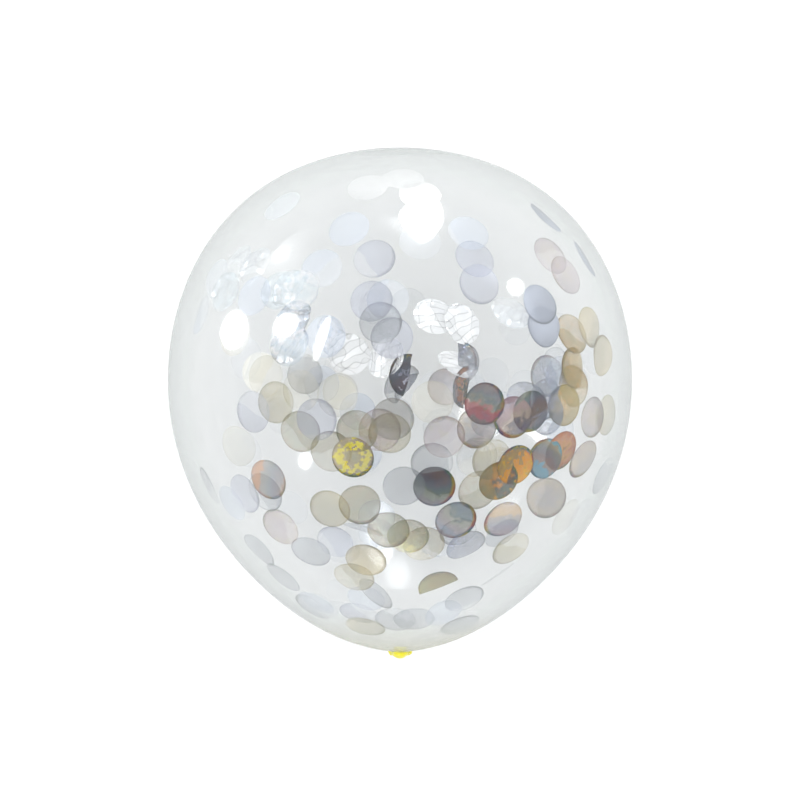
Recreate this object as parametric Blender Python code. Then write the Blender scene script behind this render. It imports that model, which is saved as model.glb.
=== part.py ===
"""Confetti balloon: a clear latex party balloon, blown up, tied at the neck and lying on a level floor.

Metres, +Z up. The balloon's axis is level and runs along Y: the crown points towards +Y, and the tied neck
towards -Y. The origin is in the small flat spot that the balloon rests on, straight under its widest ring.

The balloon is one moulded piece, so it is one closed solid: the round body and, at its end, the knot, the
pinched tail and the rolled lip of its own neck. The body is sealed, so it is solid here.
"""

import math

import bmesh
import bpy
from mathutils import Vector

# The round body. Its outline is a circle, stretched along the axis and scaled across it by a share that changes
# from the crown to the knot: GIRTH + TAPER c + BELLY c^2 + SHOULDER c^3, where c is 1 at the crown, -1 at the knot.
DIAMETER = 0.290
HALF_LENGTH = 0.1573
GIRTH, TAPER, BELLY, SHOULDER = 0.997, 0.080, -0.024, 0.091
WIDEST = 0.0772  # c at the widest ring
NECK_END = -HALF_LENGTH * (1 + WIDEST)
FLAT_SPOT_DEPTH = 0.0016  # leaves a spot about 44 mm across, which reaches well past the centre of gravity
AXIS_HEIGHT = DIAMETER / 2 - FLAT_SPOT_DEPTH

# The tied neck.
STRAND_RADIUS = 0.0017  # the neck, where it is twisted and pulled tight
KNOT_RADIUS = 0.0052
KNOT_LENGTH = 0.0052
KNOT_Y = NECK_END - 0.0014  # the middle of the knot, which sits close against the body
TAIL_LENGTH = 0.019
TAIL_BEND_RADIUS = 0.0019
TAIL_BEND = math.radians(97)  # from straight out of the knot to hanging under it
LIP_WIDTH = 0.0135
LIP_THICKNESS = 0.0046
LIP_ROLL_RADIUS = 0.0011

# How finely the round shapes are cut into facets.
SEGMENTS = 72
RINGS = 36
NECK_FACET = 0.00080

LATEX_COLOR = (0.93, 0.95, 0.94)
LATEX_ALPHA = 0.30
LATEX_ROUGHNESS = 0.08


def outline():
    """(y, radius) from the crown to the knot."""
    for i in range(RINGS + 1):
        c, s = math.cos(math.pi * i / RINGS), math.sin(math.pi * i / RINGS)
        share = GIRTH + TAPER * c + BELLY * c ** 2 + SHOULDER * c ** 3
        yield HALF_LENGTH * (c - WIDEST), DIAMETER / 2 * s * share


def link(name, mesh):
    """A new object in the scene."""
    obj = bpy.data.objects.new(name, mesh)
    bpy.context.scene.collection.objects.link(obj)
    return obj


def to_mesh(name, bm):
    """The bmesh as a mesh whose faces point out."""
    bmesh.ops.recalc_face_normals(bm, faces=bm.faces)
    mesh = bpy.data.meshes.new(name)
    bm.to_mesh(mesh)
    bm.free()
    return mesh


def evaluated(obj):
    """The object's mesh as its modifiers leave it, or a curve's tube. The object is removed."""
    bpy.context.view_layer.update()
    graph = bpy.context.evaluated_depsgraph_get()
    mesh = bpy.data.meshes.new_from_object(obj.evaluated_get(graph))
    bpy.data.objects.remove(obj)
    return mesh


def bridge(bm, loops):
    """Quads between each loop of vertices and the next one."""
    for near, far in zip(loops, loops[1:]):
        for i in range(len(near)):
            j = (i + 1) % len(near)
            bm.faces.new((near[i], near[j], far[j], far[i]))


def round_body():
    """The outline turned about the balloon's axis, which is at z = 0 here."""
    bm = bmesh.new()
    verts = [bm.verts.new((0, y, radius)) for y, radius in outline()]
    edges = [bm.edges.new(pair) for pair in zip(verts, verts[1:])]
    bmesh.ops.spin(bm, geom=verts + edges, axis=(0, 1, 0), cent=(0, 0, 0), angle=math.tau, steps=SEGMENTS)
    bmesh.ops.remove_doubles(bm, verts=bm.verts, dist=1e-6)
    return to_mesh("round_body", bm)


def knot_line(points=96):
    """A trefoil about the axis: the line that the neck follows in a tight overhand knot."""
    swing = KNOT_LENGTH / 2 - STRAND_RADIUS
    ring = KNOT_RADIUS - STRAND_RADIUS - swing
    for i in range(points):
        turn = math.tau * i / points
        reach = ring + swing * math.cos(3 * turn)
        yield reach * math.cos(2 * turn), KNOT_Y + swing * math.sin(3 * turn), reach * math.sin(2 * turn)


def knot():
    """The strand along the knot's line."""
    line = list(knot_line())
    curve = bpy.data.curves.new("knot", "CURVE")
    curve.dimensions = "3D"
    curve.bevel_depth = STRAND_RADIUS
    curve.bevel_resolution = 4
    spline = curve.splines.new("POLY")
    spline.points.add(len(line) - 1)
    for point, place in zip(spline.points, line):
        point.co = (*place, 1)
    spline.use_cyclic_u = True
    return evaluated(link("knot", curve))


def neck_root():
    """The gathered latex between the body and the knot: a cone that reaches into both."""
    bm = bmesh.new()
    bmesh.ops.create_cone(
        bm, cap_ends=True, segments=24, radius1=STRAND_RADIUS, radius2=3 * STRAND_RADIUS, depth=0.005)
    bmesh.ops.rotate(bm, verts=bm.verts, matrix=Vector((0, 0, 1)).rotation_difference((0, 1, 0)).to_matrix())
    bmesh.ops.translate(bm, verts=bm.verts, vec=(0, NECK_END, 0))
    return to_mesh("neck_root", bm)


def tail_place(share):
    """(centre, heading) on the tail: a tight bend out of the knot, and then straight down."""
    run = share * TAIL_LENGTH
    angle = min(run / TAIL_BEND_RADIUS, TAIL_BEND)
    heading = Vector((0, -math.cos(angle), -math.sin(angle)))
    bend = Vector((0, -math.sin(angle), math.cos(angle) - 1)) * TAIL_BEND_RADIUS
    return Vector((0, KNOT_Y, 0)) + bend + heading * (run - angle * TAIL_BEND_RADIUS), heading


def oval(share, width, thickness, sides):
    """Points round the tail at that share of its length. The oval's width is along X."""
    centre, heading = tail_place(share)
    across = Vector((1, 0, 0))
    through = heading.cross(across)
    for i in range(sides):
        angle = math.tau * i / sides
        yield centre + across * (width / 2 * math.cos(angle)) + through * (thickness / 2 * math.sin(angle))


def tail(rings=18, sides=24):
    """The loose end of the neck: round where it leaves the knot, wide and flat at the lip."""
    bm = bmesh.new()
    loops = []
    for i in range(rings + 1):
        share = i / rings
        width, thickness = (
            2 * STRAND_RADIUS + (end - 2 * STRAND_RADIUS) * share ** 0.8 for end in (LIP_WIDTH, LIP_THICKNESS))
        loops.append([bm.verts.new(place) for place in oval(share, width, thickness, sides)])
    bridge(bm, loops)
    bm.faces.new(loops[0])
    bm.faces.new(loops[-1])
    return to_mesh("tail", bm)


def lip(steps=40, sides=10):
    """The rolled rim at the mouth of the neck: a bead round the tail's end."""
    ring = list(oval(1, LIP_WIDTH, LIP_THICKNESS, steps))
    heading = tail_place(1)[1]
    bm = bmesh.new()
    loops = []
    for i, place in enumerate(ring):
        along = (ring[(i + 1) % steps] - ring[i - 1]).normalized()
        outward = along.cross(heading)
        angles = [math.tau * k / sides for k in range(sides)]
        offsets = [(outward * math.cos(a) + heading * math.sin(a)) * LIP_ROLL_RADIUS for a in angles]
        loops.append([bm.verts.new(place + offset) for offset in offsets])
    bridge(bm, loops + loops[:1])
    return to_mesh("lip", bm)


def tied_neck():
    """Knot, root, tail and lip melted into one closed surface, as soft latex presses into itself."""
    bm = bmesh.new()
    for mesh in (knot(), neck_root(), tail(), lip()):
        bm.from_mesh(mesh)
        bpy.data.meshes.remove(mesh)
    whole = bpy.data.meshes.new("tied_neck")
    bm.to_mesh(whole)
    bm.free()
    obj = link("tied_neck", whole)
    melt = obj.modifiers.new("melt", "REMESH")
    melt.mode = "VOXEL"
    melt.voxel_size = NECK_FACET
    return evaluated(obj)


def joined(body_mesh, neck_mesh):
    """The union of body and tied neck."""
    body = link("body", body_mesh)
    neck = link("neck", neck_mesh)
    union = body.modifiers.new("neck", "BOOLEAN")
    union.operation = "UNION"
    union.object = neck
    mesh = evaluated(body)
    bpy.data.objects.remove(neck)
    return mesh


def laid_down(mesh):
    """Raises the balloon to rest on the floor, and cuts its underside flat there."""
    bm = bmesh.new()
    bm.from_mesh(mesh)
    bmesh.ops.translate(bm, verts=bm.verts, vec=(0, 0, AXIS_HEIGHT))
    everything = bm.verts[:] + bm.edges[:] + bm.faces[:]
    cut = bmesh.ops.bisect_plane(
        bm, geom=everything, dist=1e-7, plane_co=(0, 0, 0), plane_no=(0, 0, -1), clear_outer=True)
    bmesh.ops.edgeloop_fill(bm, edges=[e for e in cut["geom_cut"] if isinstance(e, bmesh.types.BMEdge)])
    return to_mesh("latex_balloon", bm)


def clear_latex():
    """Thin clear latex: glossy, almost colourless, see-through."""
    material = bpy.data.materials.new("clear_latex")
    material.use_nodes = True
    shader = material.node_tree.nodes["Principled BSDF"]
    shader.inputs["Base Color"].default_value = (*LATEX_COLOR, 1)
    shader.inputs["Metallic"].default_value = 0.0
    shader.inputs["Roughness"].default_value = LATEX_ROUGHNESS
    shader.inputs["Alpha"].default_value = LATEX_ALPHA
    return material


def main():
    for obj in list(bpy.data.objects):
        bpy.data.objects.remove(obj)
    balloon = link("latex_balloon", laid_down(joined(round_body(), tied_neck())))
    balloon.data.shade_smooth()
    balloon.data.set_sharp_from_angle(angle=math.radians(35))
    balloon.data.materials.append(clear_latex())


main()
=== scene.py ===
"""Looks of a confetti balloon: a clear latex skin, its tied neck, and the film discs sealed inside it.

The balloon lies on the floor with its axis level along Y, the crown towards +Y and the neck towards -Y.
A place on the skin is given as (turn, along): turn is in degrees round the axis, 0 on top and growing towards
+X, and along is in millimetres from the widest ring, growing towards the crown.
"""

import math
import random
from collections import namedtuple

import bmesh
import bpy
from bpy.props import FloatProperty, FloatVectorProperty, IntProperty, PointerProperty
from mathutils import Euler, Matrix, Vector


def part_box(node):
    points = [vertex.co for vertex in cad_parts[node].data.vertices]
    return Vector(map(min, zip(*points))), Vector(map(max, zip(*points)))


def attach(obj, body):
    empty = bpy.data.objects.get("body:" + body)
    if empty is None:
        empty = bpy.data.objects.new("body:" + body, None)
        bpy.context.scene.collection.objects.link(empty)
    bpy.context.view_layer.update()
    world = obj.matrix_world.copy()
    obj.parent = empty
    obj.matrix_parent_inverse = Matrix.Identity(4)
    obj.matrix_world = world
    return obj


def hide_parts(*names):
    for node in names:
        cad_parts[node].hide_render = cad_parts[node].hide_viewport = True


bl_info = {
    "name": "Confetti balloon",
    "version": (1, 0, 0),
    "blender": (4, 5, 0),
    "location": "3D View > Sidebar > Balloon",
    "description": "Makes a clear balloon with film confetti inside, lying on a floor",
    "category": "Object",
}

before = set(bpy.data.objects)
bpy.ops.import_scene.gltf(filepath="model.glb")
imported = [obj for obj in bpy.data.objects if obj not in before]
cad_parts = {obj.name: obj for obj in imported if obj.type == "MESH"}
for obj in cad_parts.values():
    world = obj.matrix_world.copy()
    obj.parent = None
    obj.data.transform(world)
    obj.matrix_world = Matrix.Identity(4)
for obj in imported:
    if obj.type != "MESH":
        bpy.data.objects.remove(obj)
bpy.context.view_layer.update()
NODE = "latex_balloon"
LOW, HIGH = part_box(NODE)
MM = 0.001

# The outline of the body, as the frame has it: a circle, stretched along the axis and scaled across it by a
# share that changes from the crown (c = 1) to the knot (c = -1).
DIAMETER = HIGH.x - LOW.x
GIRTH, TAPER, BELLY, SHOULDER = 0.997, 0.08, -0.024, 0.091
WIDEST = 0.0772  # c at the widest ring, which is at y = 0
HALF_LENGTH = HIGH.y / (1 - WIDEST)
NECK_END = -HALF_LENGTH * (1 + WIDEST)
AXIS_HEIGHT = HIGH.z - DIAMETER / 2


# ---- Node trees ----


def math_operator(operation, swapped=False):
    """A Python operator that adds a Math node."""
    def apply(self, other):
        terms = (other, self) if swapped else (self, other)
        return self.tree.maths(operation, *terms)
    return apply


class Value:
    """A number socket, to calculate with."""

    def __init__(self, tree, socket):
        self.tree = tree
        self.socket = socket

    __add__ = __radd__ = math_operator("ADD")
    __sub__ = math_operator("SUBTRACT")
    __rsub__ = math_operator("SUBTRACT", swapped=True)
    __mul__ = __rmul__ = math_operator("MULTIPLY")
    __truediv__ = math_operator("DIVIDE")
    __pow__ = math_operator("POWER")


class Tree:
    """Adds nodes to a material, world or geometry node tree."""

    def __init__(self, node_tree):
        self.node_tree = node_tree

    def add(self, kind, settings=None, inputs=None):
        """A node of this type, with its settings, and what feeds its sockets, by name or number."""
        node = self.node_tree.nodes.new(kind)
        for name, value in (settings or {}).items():
            if name == "stops":
                self.set_stops(node.color_ramp, value)
            else:
                setattr(node, name, value)
        for key, value in (inputs or {}).items():
            self.feed(node.inputs[key], value)
        return node

    def set_stops(self, ramp, stops):
        """Gives a colour ramp these (position, colour) stops."""
        while len(ramp.elements) < len(stops):
            ramp.elements.new(0.5)
        for element, (position, color) in zip(ramp.elements, stops):
            element.position = position
            element.color = (*color, 1)

    def feed(self, socket, value):
        """Links a socket or Value into an input, or sets it to a plain value."""
        if isinstance(value, Value):
            value = value.socket
        if isinstance(value, bpy.types.NodeSocket):
            self.node_tree.links.new(value, socket)
        else:
            socket.default_value = value

    def maths(self, operation, *terms):
        node = self.add("ShaderNodeMath", {"operation": operation}, dict(enumerate(terms)))
        return Value(self, node.outputs[0])

    def vector(self, operation, *terms):
        """The vector that a Vector Math node gives."""
        return self.add("ShaderNodeVectorMath", {"operation": operation}, dict(enumerate(terms))).outputs[0]

    def measure(self, operation, *terms):
        """The number that a Vector Math node gives."""
        node = self.add("ShaderNodeVectorMath", {"operation": operation}, dict(enumerate(terms)))
        return Value(self, node.outputs["Value"])

    def dot(self, first, second):
        return self.measure("DOT_PRODUCT", first, second)

    def scaled(self, vector, scale):
        node = self.add("ShaderNodeVectorMath", {"operation": "SCALE"}, {0: vector, "Scale": scale})
        return node.outputs[0]

    def ramp(self, value, low, high, start=0.0, end=1.0):
        """Maps low..high smoothly to start..end, and holds it beyond."""
        node = self.add(
            "ShaderNodeMapRange", {"interpolation_type": "SMOOTHSTEP"},
            {"Value": value, "From Min": low, "From Max": high, "To Min": start, "To Max": end})
        return Value(self, node.outputs["Result"])

    def xyz(self, vector):
        """The three numbers of a vector."""
        return [Value(self, out) for out in self.add("ShaderNodeSeparateXYZ", inputs={0: vector}).outputs]

    def join(self, x, y, z):
        return self.add("ShaderNodeCombineXYZ", inputs={0: x, 1: y, 2: z}).outputs[0]

    def noise(self, vector, scale, detail, roughness=0.5):
        """The number of a Noise Texture, from 0 to 1."""
        node = self.add("ShaderNodeTexNoise", inputs={
            "Vector": vector, "Scale": scale, "Detail": detail, "Roughness": roughness})
        return Value(self, node.outputs[0])

    def color_mix(self, share, first, second):
        """A colour between two, as a socket."""
        return self.add("ShaderNodeMix", {"data_type": "RGBA"}, {0: share, 6: first, 7: second}).outputs[2]

    def attribute(self, name, output):
        """A shader's reading of a named attribute of the mesh."""
        return self.add("ShaderNodeAttribute", {"attribute_name": name}).outputs[output]

    def number(self, name):
        """A shader's reading of a named attribute that holds one number."""
        return Value(self, self.attribute(name, "Fac"))

    def named(self, name, data_type):
        """A geometry tree's reading of a named attribute."""
        node = self.add("GeometryNodeInputNamedAttribute", {"data_type": data_type}, {"Name": name})
        return node.outputs["Attribute"]

    def store(self, geometry, name, data_type, value):
        """The geometry with this attribute stored on its points."""
        return self.add(
            "GeometryNodeStoreNamedAttribute", {"data_type": data_type, "domain": "POINT"},
            {"Geometry": geometry, "Name": name, "Value": value}).outputs[0]


def new_material(name):
    """(material, its tree, its output node), with nothing in between."""
    material = bpy.data.materials.new(name)
    material.use_nodes = True
    material.node_tree.nodes.clear()
    tree = Tree(material.node_tree)
    return material, tree, tree.add("ShaderNodeOutputMaterial")


def new_geometry_tree(name, sockets, takes_geometry=False):
    """(group, its tree, its inputs by name, its output node). sockets gives each input's name and type."""
    group = bpy.data.node_groups.new(name, "GeometryNodeTree")
    if takes_geometry:
        group.interface.new_socket("Geometry", in_out="INPUT", socket_type="NodeSocketGeometry")
    for socket, kind in sockets.items():
        group.interface.new_socket(socket, in_out="INPUT", socket_type="NodeSocket" + kind)
    group.interface.new_socket("Geometry", in_out="OUTPUT", socket_type="NodeSocketGeometry")
    tree = Tree(group)
    source = tree.add("NodeGroupInput")
    inputs = {
        out.name: Value(tree, out) if out.type == "VALUE" else out for out in source.outputs if out.name}
    return group, tree, inputs, tree.add("NodeGroupOutput")


def linked(name, data):
    """A new object in the scene."""
    obj = bpy.data.objects.new(name, data)
    bpy.context.scene.collection.objects.link(obj)
    return obj


def to_mesh(name, bm):
    mesh = bpy.data.meshes.new(name)
    bm.to_mesh(mesh)
    bm.free()
    return mesh


def built(name, mesh, group, values):
    """A plain mesh object: what the geometry tree makes of the mesh with these input values."""
    guide = linked(name, mesh)
    modifier = guide.modifiers.new("make", "NODES")
    modifier.node_group = group
    for item in group.interface.items_tree:
        if item.in_out == "INPUT" and item.name in values:
            modifier[item.identifier] = values[item.name]
    graph = bpy.context.evaluated_depsgraph_get()
    result = bpy.data.meshes.new_from_object(guide.evaluated_get(graph))
    guide.modifiers.remove(modifier)
    guide.data = result
    result.name = name
    bpy.data.meshes.remove(mesh)
    return guide


def add_piece(piece):
    """Says what a finished piece is: part of the balloon, in place of its CAD solid."""
    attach(piece, "root")
    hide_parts(NODE)


def metres(name, description, default, precision=4):
    """The setting for a length."""
    return FloatProperty(
        name=name, description=description, default=default, precision=precision, unit="LENGTH")


def fraction(name, description, default):
    """The setting for a number from 0 to 1."""
    return FloatProperty(
        name=name, description=description, default=default, min=0, max=1, subtype="FACTOR")


def color_of(name, description, default):
    """The setting for a colour."""
    return FloatVectorProperty(
        name=name, description=description, default=default, min=0, max=1, subtype="COLOR")


def girth(c):
    """How wide the body is at c, as a share of the stretched circle."""
    return GIRTH + TAPER * c + BELLY * c * c + SHOULDER * c * c * c


# ---- The skin ----

SKIN_FACETS = 156  # round the body, and from end to end
NIPPLE = 0.0016  # how far the skin draws out towards the knot


class SkinSettings(bpy.types.PropertyGroup):
    """Sizes and colours of the clear skin."""

    diameter: metres("Diameter", "Width of the balloon at its widest ring", DIAMETER)
    wall: metres("Wall", "Thickness of the stretched latex", 0.00025, precision=5)
    pleats: IntProperty(
        name="Pleats", description="Folds that run from the knot into the body", default=26, min=0)
    pleat_depth: metres("Pleat depth", "Depth of those folds", 0.00045, precision=5)
    milk: fraction("Milkiness", "How much of the latex is cloudy, seen face on", 0.022)
    color: color_of("Cloud colour", "Colour of the cloudy part of the latex", (0.63, 0.655, 0.64))
    tint: color_of("Tint", "What one surface of the latex leaves of white light", (0.98, 0.982, 0.983))
    roughness: fraction("Gloss roughness", "How blurred its reflections are", 0.08)


def skin_tree():
    """Turns a unit sphere into the body of the balloon, with an outer and an inner wall."""
    group, tree, inputs, output = new_geometry_tree("balloon_skin", {
        "Diameter": "Float", "Half Length": "Float", "Axis Height": "Float", "Wall": "Float",
        "Pleats": "Float", "Pleat Depth": "Float", "Material": "Material",
    })
    sphere = tree.add("GeometryNodeMeshUVSphere", inputs={
        "Segments": SKIN_FACETS, "Rings": SKIN_FACETS, "Radius": 1.0})
    x, y, c = tree.xyz(tree.add("GeometryNodeInputPosition").outputs[0])
    radius = inputs["Diameter"] * 0.5 * girth(c)
    along = inputs["Half Length"] * (c - WIDEST)

    # Near the neck the skin is gathered: it draws out a little towards the knot, in shallow folds round it.
    out = tree.maths("SQRT", tree.maths("MAXIMUM", 1 - c * c, 0.0))
    neck_half = tree.ramp(c, -0.2, 0.0, 1.0, 0.0)
    away = out * radius
    nipple = tree.ramp(away, 0.0015, 0.0075, 1.0, 0.0) * neck_half
    gather = tree.ramp(away, 0.003, 0.03, 1.0, 0.0) * tree.ramp(away, 0.001, 0.006) * neck_half
    turn = tree.maths("ARCTAN2", y, x)
    uneven = tree.noise(tree.scaled(tree.join(x, y, 0.0), 1 / 0.05), 1.0, detail=1.0)
    fold = tree.maths("SINE", turn * inputs["Pleats"] + uneven * 5)
    along = along - nipple * NIPPLE + fold * gather * inputs["Pleat Depth"] * (uneven + 0.3)

    # The underside is pressed flat where it rests.
    height = inputs["Axis Height"] - y * radius
    height = tree.maths("SMOOTH_MAX", height, 0.0, 0.0007)
    shaped = tree.add("GeometryNodeSetPosition", inputs={
        "Geometry": sphere.outputs["Mesh"], "Position": tree.join(x * radius, along, height)})
    normal = tree.add("GeometryNodeInputNormal").outputs[0]
    inner = tree.add("GeometryNodeSetPosition", inputs={
        "Geometry": shaped.outputs[0], "Offset": tree.scaled(normal, inputs["Wall"] * -1)})
    inner = tree.add("GeometryNodeFlipFaces", inputs={0: inner.outputs[0]})
    walls = tree.add("GeometryNodeJoinGeometry")
    tree.feed(walls.inputs[0], tree.store(shaped.outputs[0], "inside", "FLOAT", 0.0))
    tree.feed(walls.inputs[0], tree.store(inner.outputs[0], "inside", "FLOAT", 1.0))
    smooth = tree.add("GeometryNodeSetShadeSmooth", inputs={0: walls.outputs[0]})
    real = tree.add("GeometryNodeRealizeInstances", inputs={0: smooth.outputs[0]})
    finish = tree.add("GeometryNodeSetMaterial", inputs={0: real.outputs[0], "Material": inputs["Material"]})
    tree.feed(output.inputs[0], finish.outputs[0])
    return group


def skin_material(settings):
    """Stretched clear latex: see-through, and milky where it is seen aslant or is less stretched.

    It is glossy outside and duller inside.
    """
    material, tree, output = new_material("clear_latex")
    place = tree.add("ShaderNodeTexCoord").outputs["Object"]
    along = Value(tree, tree.add("ShaderNodeSeparateXYZ", inputs={0: place}).outputs["Y"])
    aslant = Value(tree, tree.add("ShaderNodeLayerWeight", inputs={"Blend": 0.5}).outputs["Facing"])

    # Latex is thicker at the crown and towards the neck, and clouded here and there, most of all near the
    # crown.
    crown = tree.ramp(along, HIGH.y - 0.004, HIGH.y - 0.0005)
    neck = tree.ramp(along, NECK_END, NECK_END + 0.03, 1.0, 0.0)
    cloud = tree.noise(place, 11.0, detail=1.0, roughness=0.6)
    clouded = settings.milk * (0.2 + cloud * 1.6) * tree.ramp(along, -0.1, 0.1, 0.6, 1.5)
    milk = tree.maths("MINIMUM", clouded + crown * 0.16 + neck * 0.1 + aslant ** 2.4 * 0.42, 1.0)

    film = tree.add("ShaderNodeBsdfTransparent", inputs={"Color": (*settings.tint, 1)})
    tone = tree.color_mix(neck, (*settings.color, 1), (0.64, 0.64, 0.54, 1))
    cloudy = tree.add("ShaderNodeBsdfPrincipled", inputs={
        "Base Color": tone, "Roughness": 0.5, "Specular IOR Level": 0.0})
    body = tree.add("ShaderNodeMixShader", inputs={0: milk, 1: film.outputs[0], 2: cloudy.outputs[0]})

    ripple = tree.noise(place, 30.0, detail=1.0)
    bump = tree.add("ShaderNodeBump", inputs={"Strength": 0.25, "Distance": 0.0006, "Height": ripple})
    inside = tree.number("inside")
    mirror = (0.045 + aslant ** 5 * 0.12) * (1 - inside * 0.75)
    gloss = tree.add("ShaderNodeBsdfGlossy", inputs={
        "Color": (0.96, 0.97, 0.97, 1), "Roughness": settings.roughness, "Normal": bump.outputs[0]})
    surface = tree.add("ShaderNodeMixShader", inputs={0: mirror, 1: body.outputs[0], 2: gloss.outputs[0]})
    tree.feed(output.inputs["Surface"], surface.outputs[0])
    return material


class CONFETTI_BALLOON_OT_skin(bpy.types.Operator):
    """Make the clear skin, with its outer and inner wall"""

    bl_idname = "confetti_balloon.skin"
    bl_label = "Add Skin"

    def execute(self, context):
        settings = context.scene.balloon_skin
        skin = built("balloon_skin", bpy.data.meshes.new("start"), skin_tree(), {
            "Diameter": settings.diameter, "Half Length": HALF_LENGTH, "Axis Height": AXIS_HEIGHT,
            "Wall": settings.wall, "Pleats": float(settings.pleats), "Pleat Depth": settings.pleat_depth,
            "Material": skin_material(settings),
        })
        add_piece(skin)
        return {"FINISHED"}


# ---- The tied neck ----


class NeckSettings(bpy.types.PropertyGroup):
    """Sizes and colour of the knot, the tail and its rolled lip."""

    strand: metres("Strand radius", "Radius of the neck where it is pulled tight", 0.0017)
    knot_radius: metres("Knot radius", "Outer radius of the knot", 0.0051)
    knot_length: metres("Knot length", "Length of the knot along the axis", 0.005)
    tail_length: metres("Tail length", "From the knot to the lip", 0.0188)
    lip_width: metres("Lip width", "Width of the flattened mouth", 0.0132)
    lip_thickness: metres("Lip thickness", "Thickness of the flattened mouth", 0.0044)
    lip_roll: metres("Lip roll", "Radius of the rolled rim", 0.0011)
    grain: metres("Mesh size", "Size of the faces that the knot is made of", 0.0002, precision=5)
    color: color_of("Colour", "Colour of the thick, unstretched latex", (0.88, 0.8, 0.03))


KNOT_Y = NECK_END - 0.0014  # the middle of the knot
TAIL_BEND_RADIUS = 0.0019
TAIL_BEND = math.radians(97)  # from straight out of the knot to hanging under it
# The gathered skin at the knot: (distance from the body's end, radius in strand radii).
ROOT = ((0.0022, 2.0), (0.0012, 2.2), (0.0, 2.3), (-0.001, 1.9), (-0.0022, 1.3))


def round_angles(count):
    """The angles of this many points round a circle."""
    return [math.tau * i / count for i in range(count)]


def knot_line(settings, points=120):
    """The line that the neck follows in a tight overhand knot, about the axis."""
    swing = settings.knot_length / 2 - settings.strand
    ring = settings.knot_radius - settings.strand - swing
    for turn in round_angles(points):
        reach = ring + swing * math.cos(3 * turn)
        height = AXIS_HEIGHT + reach * math.sin(2 * turn)
        yield Vector((reach * math.cos(2 * turn), KNOT_Y + swing * math.sin(3 * turn), height))


def tail_place(settings, share):
    """(centre, heading) on the tail: a tight bend out of the knot, and then straight down."""
    run = share * settings.tail_length
    angle = min(run / TAIL_BEND_RADIUS, TAIL_BEND)
    heading = Vector((0, -math.cos(angle), -math.sin(angle)))
    bend = Vector((0, -math.sin(angle), math.cos(angle) - 1)) * TAIL_BEND_RADIUS
    start = Vector((0, KNOT_Y, AXIS_HEIGHT))
    return start + bend + heading * (run - angle * TAIL_BEND_RADIUS), heading


def tail_ring(settings, share, inset, sides):
    """Points round the tail, which is folded into soft pleats that open out towards the lip."""
    centre, heading = tail_place(settings, share)
    across = Vector((1, 0, 0))
    through = heading.cross(across)
    spread = share ** 0.75
    half_width = settings.strand + (settings.lip_width / 2 - settings.strand) * spread - inset
    half_depth = settings.strand + (settings.lip_thickness / 2 - settings.strand) * spread - inset
    for angle in round_angles(sides):
        pleat = 1 + 0.1 * spread * math.cos(7 * angle + 0.8) + 0.06 * spread * math.sin(11 * angle)
        bow = 0.0011 * spread * math.cos(angle) ** 2  # the flat tail is cupped a little
        yield (
            centre + across * (half_width * pleat * math.cos(angle))
            + through * (half_depth * pleat * math.sin(angle) + bow))


def lofted(bm, loops, closed=False):
    """Quads between each loop of vertices and the next. Both ends are filled if it isn't closed on itself."""
    pairs = list(zip(loops, loops[1:])) + ([(loops[-1], loops[0])] if closed else [])
    for near, far in pairs:
        for i in range(len(near)):
            j = (i + 1) % len(near)
            bm.faces.new((near[i], near[j], far[j], far[i]))
    if not closed:
        bm.faces.new(loops[0])
        bm.faces.new(loops[-1])


def add_tail(bm, settings, sides=60, steps=26, wall=0.0006):
    """The open sleeve of the tail: out along its outer face, round the mouth, and back up inside."""
    outer = [tail_ring(settings, i / steps, 0, sides) for i in range(steps + 1)]
    inner = [tail_ring(settings, i / steps, wall, sides) for i in range(steps, steps // 2, -1)]
    lofted(bm, [[bm.verts.new(place) for place in ring] for ring in outer + inner])


def add_lip(bm, settings, steps=72, sides=12):
    """The rolled rim, a bead that follows the pleated mouth."""
    ring = list(tail_ring(settings, 1, 0.0003, steps))
    heading = tail_place(settings, 1)[1]
    loops = []
    for i, place in enumerate(ring):
        along = (ring[(i + 1) % steps] - ring[i - 1]).normalized()
        outward = along.cross(heading)
        roll = settings.lip_roll * (1 + 0.08 * math.sin(5 * math.tau * i / steps))
        loops.append([
            bm.verts.new(place + (outward * math.cos(a) + heading * math.sin(a)) * roll)
            for a in round_angles(sides)])
    lofted(bm, loops, closed=True)


def add_tube(bm, line, radius, sides=14):
    """A closed tube along a closed line. radius gives it for a share of the line and an angle round it."""
    loops = []
    for i, place in enumerate(line):
        along = (line[(i + 1) % len(line)] - line[i - 1]).normalized()
        side = along.cross(Vector((0, 1, 0))).normalized()
        up = side.cross(along)
        share = i / len(line)
        loops.append([
            bm.verts.new(place + (side * math.cos(a) + up * math.sin(a)) * radius(share, a))
            for a in round_angles(sides)])
    lofted(bm, loops, closed=True)


def add_root(bm, settings, sides=40):
    """The last of the gathered skin, which narrows into the knot."""
    loops = []
    for back, width in ROOT:
        ring = []
        for angle in round_angles(sides):
            reach = settings.strand * width * (1 + 0.05 * math.cos(9 * angle))
            ring.append(bm.verts.new((
                reach * math.cos(angle), NECK_END + back, AXIS_HEIGHT + reach * math.sin(angle))))
        loops.append(ring)
    lofted(bm, loops)


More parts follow.
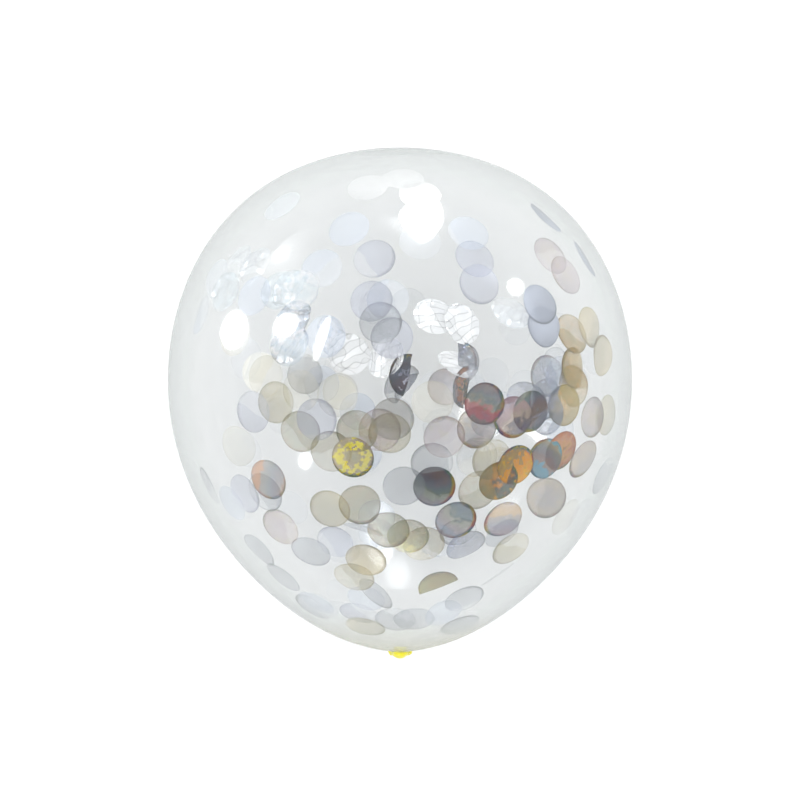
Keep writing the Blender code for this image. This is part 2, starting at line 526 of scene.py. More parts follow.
def neck_mesh(settings):
    """The finished neck: knot, root, tail and lip melted into one smooth surface."""
    bm = bmesh.new()
    add_tube(bm, list(knot_line(settings)), lambda share, a: settings.strand * (
        1 + 0.06 * math.sin(5 * a) + 0.08 * math.sin(math.tau * 9 * share)))
    add_root(bm, settings)
    add_tail(bm, settings)
    add_lip(bm, settings)
    bmesh.ops.recalc_face_normals(bm, faces=bm.faces)
    mesh = to_mesh("tied_neck", bm)
    obj = linked("tied_neck", mesh)
    melt = obj.modifiers.new("melt", "REMESH")
    melt.mode = "VOXEL"
    melt.voxel_size = settings.grain
    soften = obj.modifiers.new("soften", "SMOOTH")
    soften.factor = 0.5
    soften.iterations = 4
    graph = bpy.context.evaluated_depsgraph_get()
    obj.data = bpy.data.meshes.new_from_object(obj.evaluated_get(graph))
    obj.modifiers.clear()
    bpy.data.meshes.remove(mesh)
    obj.data.shade_smooth()
    return obj


def neck_material(settings):
    """Thick unstretched latex: lemon yellow, soft and a little waxy."""
    material, tree, output = new_material("neck_latex")
    place = tree.add("ShaderNodeTexCoord").outputs["Object"]
    patch = tree.noise(place, 420.0, detail=3.0)
    deep = tree.ramp(patch, 0.3, 0.75)
    tone = tree.color_mix(deep, (*settings.color, 1), (0.86, 0.8, 0.1, 1))
    wrinkle = tree.noise(tree.vector("MULTIPLY", place, (1400, 500, 700)), 1.0, detail=3.0)
    bump = tree.add("ShaderNodeBump", inputs={"Strength": 0.5, "Distance": 0.0003, "Height": wrinkle})
    shader = tree.add("ShaderNodeBsdfPrincipled", inputs={
        "Base Color": tone, "Roughness": 0.28 + patch * 0.2, "Normal": bump.outputs[0],
        "Subsurface Weight": 0.35, "Subsurface Radius": (1.0, 0.9, 0.15), "Subsurface Scale": 0.0015,
    })
    tree.feed(output.inputs["Surface"], shader.outputs[0])
    return material


class CONFETTI_BALLOON_OT_neck(bpy.types.Operator):
    """Make the knot, the pleated tail and the rolled lip"""

    bl_idname = "confetti_balloon.neck"
    bl_label = "Add Tied Neck"

    def execute(self, context):
        settings = context.scene.balloon_neck
        neck = neck_mesh(settings)
        neck.data.materials.clear()
        neck.data.materials.append(neck_material(settings))
        add_piece(neck)
        return {"FINISHED"}


# ---- The confetti ----

DISC_DIAMETER = 0.025
WALL_RADIUS = 0.145  # of the round wall that the discs follow
CURLS = (0, 8, 16, 30)  # the most that a disc may curl beyond that, as 1 / radius
LEAN_SPREAD = 3.5  # degrees by which discs lean at random
CLEARANCE = 0.0009  # from the skin to the discs against it
LAYER_GAP = 0.0003  # from one layer of discs to the next
JITTER = 0.5  # how far a disc may be from its place, in degrees and in millimetres


class ConfettiSettings(bpy.types.PropertyGroup):
    """Sizes of the film discs and how they lie."""

    diameter: metres("Diameter", "Width of a disc", DISC_DIAMETER)
    film: metres("Film", "Thickness of the film", 0.00006, precision=5)
    crumple: metres("Crumple", "Depth of the creases in the crumpled discs", 0.0016)
    spare: IntProperty(name="Spare discs", description="Pale discs on the far side", default=48, min=0)
    seed: IntProperty(
        name="Seed", description="Changes how every disc lies and catches the light", default=7)
    far_seed: IntProperty(name="Far seed", description="Changes where the spare discs are", default=178)
    roughness: fraction("Roughness", "How blurred the film's reflections are", 0.24)


# A film's colour, how much light it stops, how metallic it is, how much of it flashes, in what colour, and
# how mottled the flashes are.
Film = namedtuple("Film", "color cover metal flash second mottle", defaults=(0.0, (1.0, 1.0, 1.0), 1.5))
FILMS = {
    "white": Film((1.0, 1.0, 1.0), 0.95, 0.7),
    "ivory": Film((1.0, 0.99, 0.93), 0.97, 0.1),
    "glint": Film((0.98, 0.99, 1.0), 0.93, 0.3),
    "frost": Film((0.92, 0.96, 1.0), 0.55, 0.2),
    "foil": Film((0.66, 0.75, 0.87), 0.74, 0.3, 0.4, (1.0, 1.0, 1.0)),
    "veil": Film((0.74, 0.84, 0.9), 0.45, 0.2, 0.35, (1.0, 1.0, 1.0)),
    "mist": Film((0.78, 0.83, 0.9), 0.14, 0.2),
    "ice": Film((0.72, 0.8, 0.94), 0.34, 0.05),
    "cream": Film((0.78, 0.74, 0.6), 0.26, 0.1),
    "lilac": Film((0.56, 0.59, 0.72), 0.42, 0.5),
    "silver": Film((0.46, 0.49, 0.54), 0.44, 0.6),
    "slate": Film((0.2, 0.25, 0.36), 0.48, 0.7, 0.15, (0.4, 0.46, 0.66)),
    "haze": Film((0.54, 0.58, 0.68), 0.88, 0.1),
    "pewter": Film((0.04, 0.06, 0.07), 0.86, 0.6, 0.5, (0.17, 0.27, 0.33), 0.4),
    "shard": Film((0.1, 0.11, 0.15), 0.92, 0.3, 0.25, (0.62, 0.66, 0.78)),
    "dusk": Film((0.3, 0.27, 0.22), 0.4, 0.7, 0.2, (0.38, 0.34, 0.2)),
    "beige": Film((0.52, 0.47, 0.25), 0.48, 0.5, 0.1, (0.6, 0.48, 0.15)),
    "wheat": Film((0.64, 0.53, 0.26), 0.54, 0.4),
    "olive": Film((0.38, 0.36, 0.13), 0.5, 0.6, 0.2, (0.45, 0.33, 0.08)),
    "gold": Film((0.5, 0.38, 0.1), 0.72, 0.5, 0.12, (0.72, 0.4, 0.06)),
    "lemon": Film((0.44, 0.39, 0.22), 0.76, 0.3, 0.26, (1.0, 0.9, 0.0), 0.9),
    "amber": Film((0.76, 0.34, 0.0), 0.97, 0.3, 0.45, (0.36, 0.28, 0.08)),
    "brass": Film((0.12, 0.14, 0.09), 0.88, 0.6, 0.5, (0.68, 0.33, 0.02)),
    "copper": Film((0.44, 0.17, 0.06), 0.95, 0.2, 0.45, (0.52, 0.28, 0.12)),
    "umber": Film((0.09, 0.05, 0.03), 0.97, 0.1, 0.4, (0.34, 0.14, 0.04)),
    "teal": Film((0.2, 0.17, 0.17), 0.84, 0.5, 0.4, (0.02, 0.38, 0.52), 0.5),
    "steel": Film((0.13, 0.19, 0.27), 0.74, 0.6, 0.5, (0.32, 0.39, 0.44), 0.4),
    "opal": Film((0.38, 0.34, 0.42), 0.66, 0.5, 0.4, (0.7, 0.52, 0.26), 0.4),
    "rose": Film((0.6, 0.47, 0.51), 0.44, 0.5, 0.2, (0.56, 0.48, 0.28)),
    "mauve": Film((0.38, 0.32, 0.31), 0.64, 0.5, 0.3, (0.5, 0.44, 0.26)),
    "blush": Film((0.34, 0.36, 0.4), 0.62, 0.4, 0.32, (0.68, 0.33, 0.1), 0.5),
    "plum": Film((0.22, 0.12, 0.22), 0.76, 0.6, 0.5, (0.56, 0.46, 0.48), 0.4),
    "ruby": Film((0.18, 0.2, 0.22), 0.82, 0.6, 0.4, (0.46, 0.12, 0.16), 0.8),
}

# Discs that lie in a row: each film in turn, from one place (turn, along) to another. They lie against the
# wall, or under some layers of other discs. Some lean away from it by some degrees, about a hinge at some
# angle to the level. A fold lies that many radii from a disc's middle, so at 2 the disc isn't folded.
Drift = namedtuple("Drift", "films start end lean hinge fold under", defaults=(None, 0, None, 2, 0))
DRIFTS = (
    # Round the crown.
    Drift("white white", (-12, 116), (1, 122)),
    Drift("white white mist", (7, 111), (6, 82)),
    Drift("ice", (-15, 90)),
    Drift("frost", (-44, 106)),
    Drift("ice lilac lilac", (20, 87), (21, 57)),
    Drift("haze", (57, 101), lean=6, hinge=0),
    Drift("haze", (66, 75), lean=8, hinge=0),
    # The upper middle.
    Drift("lilac", (-7, 71)),
    Drift("lilac ice", (-7, 46), (-3, 47)),
    Drift("silver lilac", (-5, 33), (-2, 24)),
    Drift("ice", (-40, 50)),
    Drift("veil ice", (-26, 53), (-21, 66)),
    Drift("veil ice", (-28, 20), (-18, 25)),
    Drift("cream mist", (-44, 26), (-40, 12)),
    Drift("cream cream", (-24, -7), (-15, -10)),
    Drift("cream", (8, -14)),
    Drift("rose", (11, -34)),
    Drift("ivory", (-36, 3), lean=12, hinge=150, fold=0.3),
    Drift("frost ice", (-58, 62), (-62, 40)),
    Drift("haze", (37.5, 44.5)),
    Drift("haze", (38, 31.5), under=1),
    Drift("rose rose", (46, 75), (49, 63)),
    # The right side, where the film shows gold.
    Drift("wheat gold", (54, 32), (47, 28)),
    Drift("gold gold", (47, 7), (47, -4)),
    Drift("wheat", (59, 15)),
    Drift("slate slate", (37, 2), (37, -12)),
    Drift("slate", (34, -13), lean=35),
    Drift("gold slate", (43, -16), (38, -21)),
    Drift("mauve beige", (55, -23), (62, -22)),
    # The girdle, left to right.
    Drift("lilac", (-38, -20)),
    Drift("cream", (-44, -40)),
    Drift("cream beige", (-34, 2), (-31, -14)),
    Drift("olive lilac", (-25, -32), (-20, -24)),
    Drift("lemon beige", (-11.5, -47), (-17, -43)),
    Drift("olive rose", (-10, -31), (-5, -30)),
    Drift("dusk beige", (-2, -24), (-2, -33)),
    Drift("ruby mauve", (20, -15), (19, -29)),
    Drift("plum pewter", (28, -23), (33, -20)),
    Drift("copper teal", (45, -43), (39, -48)),
    # Below the girdle.
    Drift("amber brass", (30, -51), (26, -61)),
    Drift("beige cream", (23, -48), (20, -47), under=2),
    Drift("olive", (21, -66), under=2),
    Drift("silver", (8, -50)),
    Drift("pewter", (9, -64), under=1),
    Drift("silver", (1, -64)),
    Drift("steel", (15.5, -84)),
    Drift("mauve", (47, -75), lean=20, hinge=180),
    Drift("mauve", (55, -49)),
    Drift("cream", (56, -84)),
    Drift("blush silver", (-36, -60), (-39, -68)),
    Drift("lilac", (-47, -70)),
    Drift("beige olive", (-19, -77), (-11, -76)),
    Drift("olive olive beige", (-3, -90), (7, -99)),
    Drift("opal", (30.5, -84)),
    Drift("slate", (21, -101), lean=6, hinge=0),
    Drift("beige", (38, -103)),
    Drift("rose silver", (-37, -89), (-30, -105)),
    Drift("silver", (-12, -95), lean=35, hinge=0),
    # Towards the neck.
    Drift("wheat beige", (-11, -109), (-17, -120)),
    Drift("silver", (29, -134)),
    Drift("silver", (44, -124), lean=28, hinge=0),
    Drift("olive", (15, -126), hinge=10, fold=0.0),
    Drift("lilac beige", (-22, -144), (-23, -153)),
    Drift("silver", (-12, -135), lean=25),
    Drift("silver silver", (-3, -147), (8, -147)),
    Drift("mist", (26, -159)),
    Drift("silver", (43, -153)),
    Drift("silver silver silver", (-48, -140), (-54, -105)),
    Drift("mist silver", (-42, -42), (-66, -66)),
    Drift("mist silver", (65, -84), (72, -60)),
    # The far side, where it shows through the gaps.
    Drift("cream cream", (206, 6), (196, -7)),
    Drift("rose mist", (168, -4), (169, -31)),
    Drift("lilac", (204, -106)),
    Drift("mist", (177, 51)),
)

# Discs that were crumpled or folded before they went in.
CRUMPLED = (
    Drift("glint glint", (16, 34), (9, 39), 20),
    Drift("foil", (-28, 22), lean=15),
    Drift("foil", (-18, 26), lean=30, hinge=60),
    Drift("glint", (-12, 14), lean=18, hinge=120),
    Drift("glint", (-4, 13), lean=25, hinge=20),
    Drift("frost", (30, 42), lean=20),
    Drift("glint", (15, 11), lean=45, hinge=60),
    Drift("veil foil", (-31, 56), (-28, 37), lean=12),
    Drift("veil veil", (-52, 53), (-33, 54)),
    Drift("frost frost", (-44, 70), (-52, 72)),
    Drift("shard", (2, 2), lean=30, hinge=-31, fold=0.1),
    Drift("slate", (1, -4), lean=40, hinge=20, fold=0.5),
    Drift("umber", (17, -5), lean=38, hinge=0, fold=0.0),
    Drift("slate", (14.5, 10), lean=45, hinge=170, fold=0.0),
)

Disc = namedtuple("Disc", "place aim film chance curl fold")


def outline_radius(along):
    """Radius of the body at a distance along the axis."""
    c = max(-1.0, min(1.0, along / HALF_LENGTH + WIDEST))
    return DIAMETER / 2 * girth(c) * math.sqrt(max(1 - c * c, 0.0))


def on_the_wall(turn, along, inset):
    """(place, outward normal) inside the skin, at a turn in degrees and a distance along it."""
    step = 0.0005
    slope = (outline_radius(along + step) - outline_radius(along - step)) / (2 * step)
    round_axis = Vector((math.sin(math.radians(turn)), 0, math.cos(math.radians(turn))))
    normal = (round_axis - Vector((0, slope, 0))).normalized()
    place = round_axis * outline_radius(along) + Vector((0, along, AXIS_HEIGHT))
    return place - normal * inset, normal


def lay_disc(chooser, turn, along, film, layer, lean=0, hinge=None, fold=2):
    """One disc against the wall, with small random differences in how it lies."""
    tilt = math.radians(lean + abs(chooser.gauss(0, LEAN_SPREAD)))
    inset = CLEARANCE + LAYER_GAP * layer + DISC_DIAMETER / 2 * math.sin(tilt)
    place, normal = on_the_wall(turn, along, inset)
    bearing, spin = chooser.uniform(0, math.tau), chooser.uniform(0, math.tau)
    if hinge is not None:
        bearing, spin = math.radians(hinge), math.radians(hinge - 90)
    leaning = Matrix.Rotation(tilt, 3, (math.cos(bearing), math.sin(bearing), 0))
    facing = normal.to_track_quat("Z", "Y").to_matrix()
    aim = (facing @ leaning @ Matrix.Rotation(spin, 3, "Z")).to_euler()
    curl = 1 / WALL_RADIUS + chooser.choice(CURLS) * chooser.random()
    return Disc(place, aim, film, chooser.random(), curl, fold)


def drifted(drifts, seed):
    """The discs of these drifts. A disc's random choices hang on its drift's start and its number in it."""
    for drift in drifts:
        films = drift.films.split()
        end = drift.end or drift.start
        for i, film in enumerate(films):
            chooser = random.Random(f"{seed} {drift.start} {i}")
            share = i / max(len(films) - 1, 1)  # of the way from the start to the end
            turn, along = (
                first + (last - first) * share + chooser.uniform(-JITTER, JITTER)
                for first, last in zip(drift.start, end))
            yield lay_disc(
                chooser, turn, along * MM, FILMS[film], drift.under + i, drift.lean, drift.hinge, drift.fold)


def far_side(settings):
    """Pale discs on the far side. They lie as the near ones do, so the clear gaps go through the balloon."""
    chooser = random.Random(settings.far_seed)
    low = [drift for drift in DRIFTS if drift.start[1] < 50]
    for _ in range(settings.spare):
        near = chooser.choice(low)
        turn = 180 - near.start[0] + chooser.gauss(0, 5)
        along = near.start[1] + chooser.gauss(0, 6)
        film = FILMS[chooser.choice(("mist", "mist", "ice", "mist", "silver"))]
        yield lay_disc(chooser, turn, along * MM, film, chooser.randrange(3))


def points_mesh(items):
    """A mesh of loose points that carry each disc's aim, film, chance, curl and fold."""
    mesh = bpy.data.meshes.new("places")
    mesh.from_pydata([item.place for item in items], [], [])
    columns = {
        "aim": ("FLOAT_VECTOR", "vector", [x for item in items for x in item.aim]),
        "tone": ("FLOAT_COLOR", "color", [x for item in items for x in (*item.film.color, 1)]),
        "second": ("FLOAT_COLOR", "color", [x for item in items for x in (*item.film.second, 1)]),
    }
    for name in ("cover", "metal", "flash", "mottle"):
        columns[name] = "FLOAT", "value", [getattr(item.film, name) for item in items]
    for name in ("chance", "curl", "fold"):
        columns[name] = "FLOAT", "value", [getattr(item, name) for item in items]
    for column, (kind, field, values) in columns.items():
        mesh.attributes.new(column, kind, "POINT").data.foreach_set(field, values)
    return mesh


def creases(tree, u, v, chance):
    """For three sets of creases that cross on a disc: (creases passed up to a place, spacing, depth)."""
    warp = tree.noise(tree.join(u * 1.1, v * 1.1, chance * 90), 1.0, detail=0.0)
    for angle, width, depth in ((0.4, 0.36, 0.5), (1.9, 0.85, 0.45), (2.6, 1.15, 0.7)):
        yield (u * math.cos(angle) + v * math.sin(angle)) / width + warp * 1.6 + chance * 9, width, depth


def confetti_tree():
    """Puts a thin round disc on every point and bends each one its own way."""
    group, tree, inputs, output = new_geometry_tree("film_discs", {
        "Radius": "Float", "Film": "Float", "Sides": "Int", "Rings": "Int", "Crumple": "Float",
        "Material": "Material",
    }, takes_geometry=True)
    disc = tree.add("GeometryNodeMeshCylinder", {"fill_type": "TRIANGLE_FAN"}, {
        "Vertices": inputs["Sides"], "Side Segments": 1, "Fill Segments": inputs["Rings"],
        "Radius": inputs["Radius"], "Depth": inputs["Film"]})
    own = tree.add("GeometryNodeInputPosition").outputs[0]
    angle = Value(tree, tree.add("GeometryNodeInputMeshEdgeAngle").outputs["Unsigned Angle"])
    smooth = tree.add("GeometryNodeSetShadeSmooth", {"domain": "EDGE"}, {
        "Geometry": disc.outputs["Mesh"], "Shade Smooth": tree.maths("LESS_THAN", angle, 0.7)})
    disc = tree.store(smooth.outputs[0], "film_place", "FLOAT_VECTOR", own)
    aim = tree.add("FunctionNodeEulerToRotation", inputs={0: tree.named("aim", "FLOAT_VECTOR")})
    laid = tree.add("GeometryNodeInstanceOnPoints", inputs={
        "Points": inputs["Geometry"], "Instance": disc, "Rotation": aim.outputs[0]})
    real = tree.add("GeometryNodeRealizeInstances", inputs={0: laid.outputs[0]})

    # Each disc follows the round wall and curls up along one side. Some are folded over and creased.
    u, v = tree.xyz(tree.named("film_place", "FLOAT_VECTOR"))[:2]
    curl = Value(tree, tree.named("curl", "FLOAT"))
    chance = Value(tree, tree.named("chance", "FLOAT"))
    hinge = Value(tree, tree.named("fold", "FLOAT")) * inputs["Radius"]
    over = tree.maths("MAXIMUM", u - hinge, 0.0)
    rounding = (u * u + v * v) * (0.5 / WALL_RADIUS)
    peel = tree.maths("MAXIMUM", u + inputs["Radius"] * 0.2, 0.0)
    drop = rounding + peel * peel * (curl - 1 / WALL_RADIUS) * 0.5
    drop = drop + tree.maths("MINIMUM", over * 0.35, 0.0012)
    for passed, _, depth in creases(tree, u / inputs["Radius"], v / inputs["Radius"], chance):
        drop = drop + tree.maths("PINGPONG", passed, 1.0) * inputs["Crumple"] * depth
    push = tree.add("FunctionNodeRotateVector", inputs={
        "Vector": tree.join(over * -2, 0.0, drop * -1), "Rotation": aim.outputs[0]})
    bent = tree.add("GeometryNodeSetPosition", inputs={
        "Geometry": real.outputs[0], "Offset": push.outputs[0]})
    creased = tree.maths("GREATER_THAN", inputs["Crumple"], 0.0)
    finish = tree.add("GeometryNodeSetMaterial", inputs={
        0: tree.store(bent.outputs[0], "creased", "FLOAT", creased), "Material": inputs["Material"]})
    tree.feed(output.inputs[0], finish.outputs[0])
    return group


def film_material(settings):
    """Thin silvered film: each disc has its own tint, a painted highlight that makes one part paler, and a
    darker rim with painted shade along one side.

    Some discs also flash in bands of another colour. Crumpled ones have creases painted as dark lines, with
    painted light and painted shade by turns on the faces between them.
    """
    material, tree, output = new_material("confetti_film")
    chance = tree.number("chance")
    cover = tree.number("cover")
    flash = tree.number("flash")
    metal = tree.number("metal")
    creased = tree.number("creased")
    tone = tree.attribute("tone", "Color")
    place = tree.scaled(tree.attribute("film_place", "Vector"), 2 / settings.diameter)
    own = tree.vector("ADD", place, tree.join(chance * 30, chance * 70, 0.0))
    blotch = tree.noise(own, 1.1, detail=0.0)
    crinkle = tree.noise(own, 3.6, detail=1.0)
    dark = tree.maths("MINIMUM", (1 - tree.dot(tone, (0.33, 0.34, 0.33))) * 2, 1.0)

    def towards(angle):
        """How far a place on the disc lies in this direction."""
        return tree.dot(place, tree.join(tree.maths("COSINE", angle), tree.maths("SINE", angle), 0.0))

    # Painted highlight: one side of most discs, up to a line across them, is mixed towards a pale grey and
    # made more see-through, as if the light caught it there.
    turn = chance * 40
    across = towards(turn)
    line = tree.maths("FRACT", chance * 17.3) * 1.7 - 0.3
    painted_highlight = tree.maths("SMOOTH_MIN", (across + blotch * 0.5 - 0.25 - line) * 14, 1.0, 0.3)
    painted_highlight = tree.maths("MAXIMUM", painted_highlight, 0.0) * tree.maths("MAXIMUM", 1 - flash * 2.2, 0.0)
    pale = tree.color_mix(painted_highlight * 0.35, tone, (0.9, 0.91, 0.9, 1))

    # The cut edge is darker all round, and a painted shade darkens it most in a crescent along one side of
    # each disc.
    away = tree.measure("LENGTH", tree.vector("MULTIPLY", place, (1, 1, 0)))
    rim = tree.ramp(away, 0.86, 1.0)
    painted_crescent_shade = tree.ramp(away + towards(turn + 2) * 0.2, 0.9, 1.1)
    painted_crescent_shade = painted_crescent_shade * tree.maths("MAXIMUM", tree.maths("FRACT", chance * 53), flash * 1.6)

    # Flashes lie across the film in bands that wander, and along the edge, with rainbow fringes.
    ringed = tree.maths("FRACT", chance * 29)
    mottled = crinkle * tree.number("mottle")
    band = tree.maths("FRACT", across * 0.6 * (1 - ringed) + away * 0.7 * ringed + mottled + chance)
    rainbow = tree.add("ShaderNodeValToRGB", {"stops": [
        (0.0, (0.8, 0.3, 0.02)), (0.25, (0.62, 0.12, 0.06)), (0.42, (0.22, 0.08, 0.3)),
        (0.55, (0.04, 0.28, 0.4)), (0.68, (0.12, 0.34, 0.1)), (0.82, (0.85, 0.6, 0.04)),
    ]}, {0: tree.maths("FRACT", band * 1.5 + painted_crescent_shade * 0.6)})
    flashing = tree.ramp(band, 1 - flash, 1.05 - flash)
    color = tree.color_mix(flashing, pale, tree.attribute("second", "Color"))
    fringe = tree.maths("MINIMUM", flash * (0.4 + painted_crescent_shade * 2) * dark * dark, 1.0)
    color = tree.color_mix(fringe, color, rainbow.outputs[0])

    # On a crumpled disc the faces between the creases take painted light and painted shade by turns, the
    # creases are painted as dark lines, and the painted light also glows.
    u, v = tree.xyz(place)[:2]
    painted_crease_shade = painted_crease_light = 0.0
    for passed, spacing, _ in creases(tree, u, v, chance):
        other = tree.maths("GREATER_THAN", tree.maths("FRACT", passed * 0.5), 0.5)
        edge = tree.ramp(tree.maths("PINGPONG", passed, 0.5), 0.0, 0.045 / spacing, 1.0, 0.0)
        painted_crease_shade = painted_crease_shade + other * dark * 0.12 + edge * 0.65
        painted_crease_light = painted_crease_light + other * (1 - dark) * 0.16
    painted_crease_shade = tree.maths("MINIMUM", painted_crease_shade, 1.0) * creased
    painted_crease_light = tree.maths("MINIMUM", painted_crease_light, 1.0) * creased
    # Painted shade: darker films are painted darker towards one side of each disc and in random blotches, and
    # crumpled discs darker again on their painted-shade faces and creases.
    shade = (1 - (0.2 - across * 0.2 - blotch * 0.3) * dark) * (1 - painted_crease_shade * 0.55)
    # Painted shade at the edge: the crescent along one side is darkened, on top of the darker cut edge all
    # round.
    shade = shade * (1 - (rim * 0.3 + painted_crescent_shade * 0.45) * (cover * 0.6 + 0.4) * dark)

    bump = tree.add("ShaderNodeBump", inputs={"Strength": 0.3, "Distance": 0.0006, "Height": crinkle})
    # Light passes both faces of the film, so each face covers only its share. The painted highlight lets more
    # through, and the rim and the crescent of painted shade cover more.
    covered = cover * (1 - painted_highlight * 0.3 + (rim * 0.25 + painted_crescent_shade * 0.5) * dark)
    covered = tree.maths("MINIMUM", covered, 0.97)
    shader = tree.add("ShaderNodeBsdfPrincipled", inputs={
        "Base Color": tree.scaled(color, shade), "Metallic": metal,
        "Roughness": settings.roughness * (1 - creased * 0.35),
        "Specular IOR Level": 0.12,
        "Emission Color": tree.scaled((1, 1, 1), painted_crease_light * 0.3), "Emission Strength": 1.0,
        "Coat Weight": creased * (1 - dark), "Coat Roughness": 0.14,
        "Alpha": 1 - (1 - covered) ** 0.5, "Normal": bump.outputs[0],
    })
    material.cycles.emission_sampling = "NONE"  # the faces with painted light glow, but they light nothing else
    tree.feed(output.inputs["Surface"], shader.outputs[0])
    return material


def add_discs(name, items, tree, film, settings, sides, rings, crumple):
    """One piece from all of these discs."""
    piece = built(name, points_mesh(items), tree, {
        "Radius": settings.diameter / 2, "Film": settings.film, "Sides": sides, "Rings": rings,
        "Crumple": crumple, "Material": film,
    })
    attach(piece, "root")


class CONFETTI_BALLOON_OT_confetti(bpy.types.Operator):
    """Make the film discs that cling inside the skin"""

    bl_idname = "confetti_balloon.confetti"
    bl_label = "Add Confetti"

    def execute(self, context):
        settings = context.scene.balloon_confetti
        tree = confetti_tree()
        film = film_material(settings)
        flat = [*drifted(DRIFTS, settings.seed), *far_side(settings)]
        crumpled = list(drifted(CRUMPLED, settings.seed))
        add_discs("confetti", flat, tree, film, settings, sides=32, rings=4, crumple=0.0)
        add_discs(
            "crumpled_confetti", crumpled, tree, film, settings, sides=60, rings=18, crumple=settings.crumple)
        return {"FINISHED"}


# ---- The stage ----

FLOOR_REACH = 3.0
CAMERA_Y = -0.0125  # nearly over the middle of the balloon with its neck


class StageSettings(bpy.types.PropertyGroup):
    """The floor, the lights and the camera."""

    camera_height: metres("Camera distance", "From the balloon's axis up to the camera", 2.0)
    field: metres("Field", "Width of the view at the balloon's axis", 0.501)
    floor_color: color_of("Floor", "Colour of the floor", (0.95, 0.95, 0.95))
    sky: FloatProperty(
        name="Fill light", description="Brightness of the soft light from all round", default=0.97, min=0)


# Each lamp: direction towards it (turn round the vertical from +Y, and height), width, height, brightness,
# and how far it is rolled about that direction. Angles are in degrees.
Lamp = namedtuple("Lamp", "bearing elevation width height radiance roll", defaults=(0,))
LAMPS = (
    Lamp(9, 14, 0.2, 0.5, 12),
    Lamp(-75, 4, 0.19, 0.29, 12),
    Lamp(54, 22, 0.1, 0.15, 11),
    Lamp(-65, 51, 0.28, 0.07, 11, 7),
    Lamp(-67, 32, 0.14, 0.19, 10, 25),
)
LAMP_DISTANCE = 0.9

# Soft glows in the surroundings: direction, width and height (as shares of the distance) and brightness.
Glow = namedtuple("Glow", "bearing elevation width height radiance")
GLOWS = (
    Glow(-46, 1, 0.08, 0.12, 3.5),
    Glow(-46, 1, 0.17, 0.28, 1.6),
    Glow(-46, 1, 0.28, 0.46, 0.8),
    Glow(-179, 3, 0.11, 0.19, 4.0),
    Glow(-179, 1, 0.22, 0.28, 1.3),
)


def turned_to(bearing, elevation):
    """The matrix that turns +Y to this turn round the vertical and this height, in degrees."""
    return Euler((math.radians(elevation), 0, -math.radians(bearing))).to_matrix()


def add_floor(settings):
    bm = bmesh.new()
    bmesh.ops.create_grid(bm, x_segments=1, y_segments=1, size=FLOOR_REACH)
    mesh = to_mesh("floor", bm)
    floor = linked("floor", mesh)
    material, tree, output = new_material("pale_floor")
    shader = tree.add("ShaderNodeBsdfPrincipled", inputs={
        "Base Color": (*settings.floor_color, 1), "Roughness": 0.9, "Specular IOR Level": 0.0})
    tree.feed(output.inputs["Surface"], shader.outputs[0])
    mesh.materials.append(material)


def add_world(settings):
    """Soft light from all round, brightest near the horizon and towards the crown, with the glows."""
    world = bpy.data.worlds.new("studio")
    world.use_nodes = True
    world.node_tree.nodes.clear()
    tree = Tree(world.node_tree)
    direction = tree.add("ShaderNodeTexCoord").outputs["Generated"]
    _, y, z = tree.xyz(direction)
    above = tree.ramp(z, 0.02, 0.35)
    level = tree.ramp(z, 0.1, 0.95, 1.0, 0.55) + tree.ramp(y, -0.8, 0.6, -0.36, 0.12) * above
    for glow in GLOWS:
        side, ahead, up = turned_to(glow.bearing, glow.elevation).transposed()
        off_x = tree.dot(direction, side) / glow.width
        off_z = tree.dot(direction, up) / glow.height
        behind = tree.maths("LESS_THAN", tree.dot(direction, ahead), 0.0)
        level = level + tree.ramp(off_x * off_x + off_z * off_z + behind, 0.0, 1.0, glow.radiance, 0.0)
    background = tree.add("ShaderNodeBackground", inputs={
        "Color": (0.97, 0.985, 1.0, 1), "Strength": level * settings.sky})
    output = tree.add("ShaderNodeOutputWorld")
    tree.feed(output.inputs["Surface"], background.outputs[0])
    world.cycles.sampling_method = "NONE"  # it is smooth enough to leave to chance, which is faster
    bpy.context.scene.world = world


def add_lamp(name, place, target, width, height, radiance):
    data = bpy.data.lights.new(name, "AREA")
    data.shape = "ELLIPSE"
    data.size = width
    data.size_y = height
    data.energy = radiance * math.pi * width * height
    lamp = linked(name, data)
    lamp.location = place
    lamp.rotation_euler = (target - place).to_track_quat("-Z", "Y").to_euler()
    lamp.visible_camera = False
    return lamp


def add_lamps():
    target = Vector((0, 0, AXIS_HEIGHT))
    for i, lamp in enumerate(LAMPS):
        place = target + turned_to(lamp.bearing, lamp.elevation) @ Vector((0, LAMP_DISTANCE, 0))
        softbox = add_lamp(f"softbox_{i}", place, target, lamp.width, lamp.height, lamp.radiance)
        softbox.rotation_euler.rotate_axis("Z", math.radians(lamp.roll))
        softbox.visible_diffuse = False
    overhead = add_lamp("overhead", Vector((0, 0.1, 3.2)), target, width=3.0, height=3.0, radiance=3.3)
    overhead.visible_glossy = False


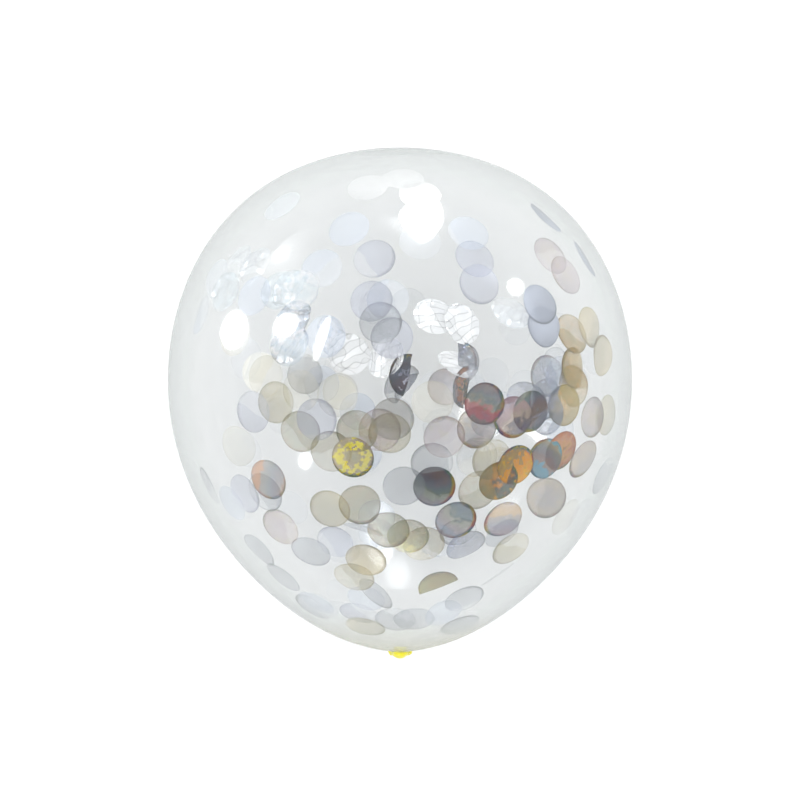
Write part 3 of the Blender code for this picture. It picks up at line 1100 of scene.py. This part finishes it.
def add_camera(settings):
    data = bpy.data.cameras.new("camera")
    data.lens = data.sensor_width * settings.camera_height / settings.field
    camera = linked("camera", data)
    camera.location = (0, CAMERA_Y, AXIS_HEIGHT + settings.camera_height)
    bpy.context.scene.camera = camera


class CONFETTI_BALLOON_OT_stage(bpy.types.Operator):
    """Make the pale floor, the soft lights and the camera that looks down on the balloon"""

    bl_idname = "confetti_balloon.stage"
    bl_label = "Add Stage"

    def execute(self, context):
        settings = context.scene.balloon_stage
        add_floor(settings)
        add_world(settings)
        add_lamps()
        add_camera(settings)
        context.scene.view_settings.view_transform = "Standard"
        context.scene.cycles.transparent_max_bounces = 28
        context.scene.cycles.max_bounces = 6
        context.scene.cycles.diffuse_bounces = 2
        context.scene.cycles.glossy_bounces = 3
        return {"FINISHED"}


# ---- The add-on ----


class CONFETTI_BALLOON_PT_panel(bpy.types.Panel):
    """Buttons for each piece of the balloon and for its stage"""

    bl_label = "Confetti Balloon"
    bl_space_type = "VIEW_3D"
    bl_region_type = "UI"
    bl_category = "Balloon"

    def draw(self, context):
        for owner, _, operator in GROUPS:
            box = self.layout.box()
            settings = getattr(context.scene, owner)
            for name in settings.__annotations__:
                box.prop(settings, name)
            box.operator(operator.bl_idname)


GROUPS = (
    ("balloon_stage", StageSettings, CONFETTI_BALLOON_OT_stage),
    ("balloon_skin", SkinSettings, CONFETTI_BALLOON_OT_skin),
    ("balloon_neck", NeckSettings, CONFETTI_BALLOON_OT_neck),
    ("balloon_confetti", ConfettiSettings, CONFETTI_BALLOON_OT_confetti),
)
CLASSES = (*(cls for _, *pair in GROUPS for cls in pair), CONFETTI_BALLOON_PT_panel)


def register():
    for cls in CLASSES:
        bpy.utils.register_class(cls)
    for name, settings, _ in GROUPS:
        setattr(bpy.types.Scene, name, PointerProperty(type=settings))


def unregister():
    for name, _, _ in GROUPS:
        delattr(bpy.types.Scene, name)
    for cls in reversed(CLASSES):
        bpy.utils.unregister_class(cls)


def main():
    register()
    bpy.ops.confetti_balloon.stage()
    bpy.ops.confetti_balloon.skin()
    bpy.ops.confetti_balloon.neck()
    bpy.ops.confetti_balloon.confetti()


if __name__ == "__main__":
    main()
